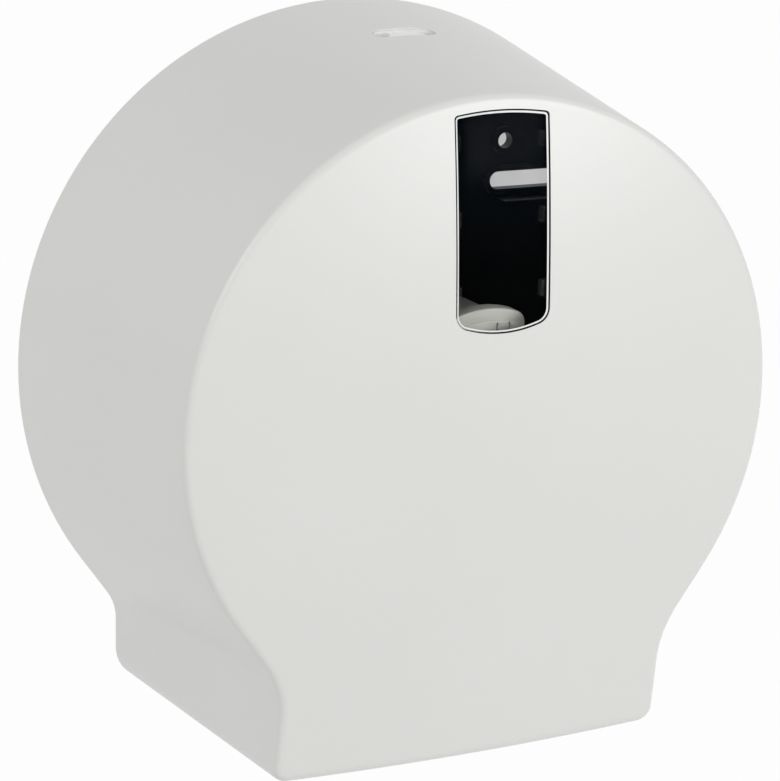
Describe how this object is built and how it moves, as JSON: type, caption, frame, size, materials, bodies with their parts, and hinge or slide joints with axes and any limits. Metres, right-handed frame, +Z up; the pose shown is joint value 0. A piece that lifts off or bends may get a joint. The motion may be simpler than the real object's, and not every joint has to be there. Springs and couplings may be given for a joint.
{
  "type": "jumbo toilet roll dispenser",
  "caption": "Wall-mounted jumbo toilet roll dispenser: round white cover with foot and sight window, hinged at the bottom, over a black back plate with a turning roll hub and key latch.",
  "frame": {"origin": "on the wall plane, at the axis of the roll hub and of the round cover", "axes": "+Z up, -Y out of the wall towards the user, +X to the user's right"},
  "size_m": [0.2774, 0.136, 0.2732],
  "materials": {
    "cover_white": "moulded ABS, satin gloss",
    "clear_pane": "clear polycarbonate",
    "zinc_steel": "zinc plated",
    "bright_steel": "stainless, sheared teeth",
    "plate_black": "black ABS, semi-gloss",
    "hub_grey": "light grey ABS",
    "brake_rubber": "matt",
    "bolt_brass": "plain"
  },
  "bodies": {
    "root": {"back_plate": "plate_black", "axle": "hub_grey", "axle_screws": "zinc_steel", "brake_ring": "brake_rubber", "hub_washer": "zinc_steel", "hub_screw": "zinc_steel", "latch_housing": "plate_black", "housing_screws": "zinc_steel", "latch_keepers": "zinc_steel", "latch_spring": "zinc_steel", "hinge_pin_left": "zinc_steel", "hinge_pin_right": "zinc_steel"},
    "cover": {"cover_shell": "cover_white", "window_pane": "clear_pane", "key_plate": "cover_white", "cover_catch": "zinc_steel", "catch_rivets": "zinc_steel", "hinge_ear_left": "cover_white", "hinge_ear_right": "cover_white", "ear_screws": "zinc_steel", "tear_strip_left": "bright_steel", "tear_strip_right": "bright_steel", "strip_rivets": "bright_steel"},
    "hub": {"hub_body": "hub_grey", "hub_front": "hub_grey", "hub_cap": "hub_grey"},
    "bolt": {"latch_bolt": "bolt_brass"}
  },
  "joints": [
    {"name": "cover_swing", "type": "hinge", "parent": "root", "child": "cover", "pos_m": [0, -0.0075, -0.13], "axis": [1, 0, 0], "range_deg": [0, 90]},
    {"name": "hub_spin", "type": "hinge", "parent": "root", "child": "hub", "pos_m": [0, -0.06, 0], "axis": [0, 1, 0], "continuous": true},
    {"name": "bolt_slide", "type": "slide", "parent": "root", "child": "bolt", "axis": [0, 0, 1], "range_m": [0, 0.0045], "deforming": ["latch_spring"]}
  ]
}
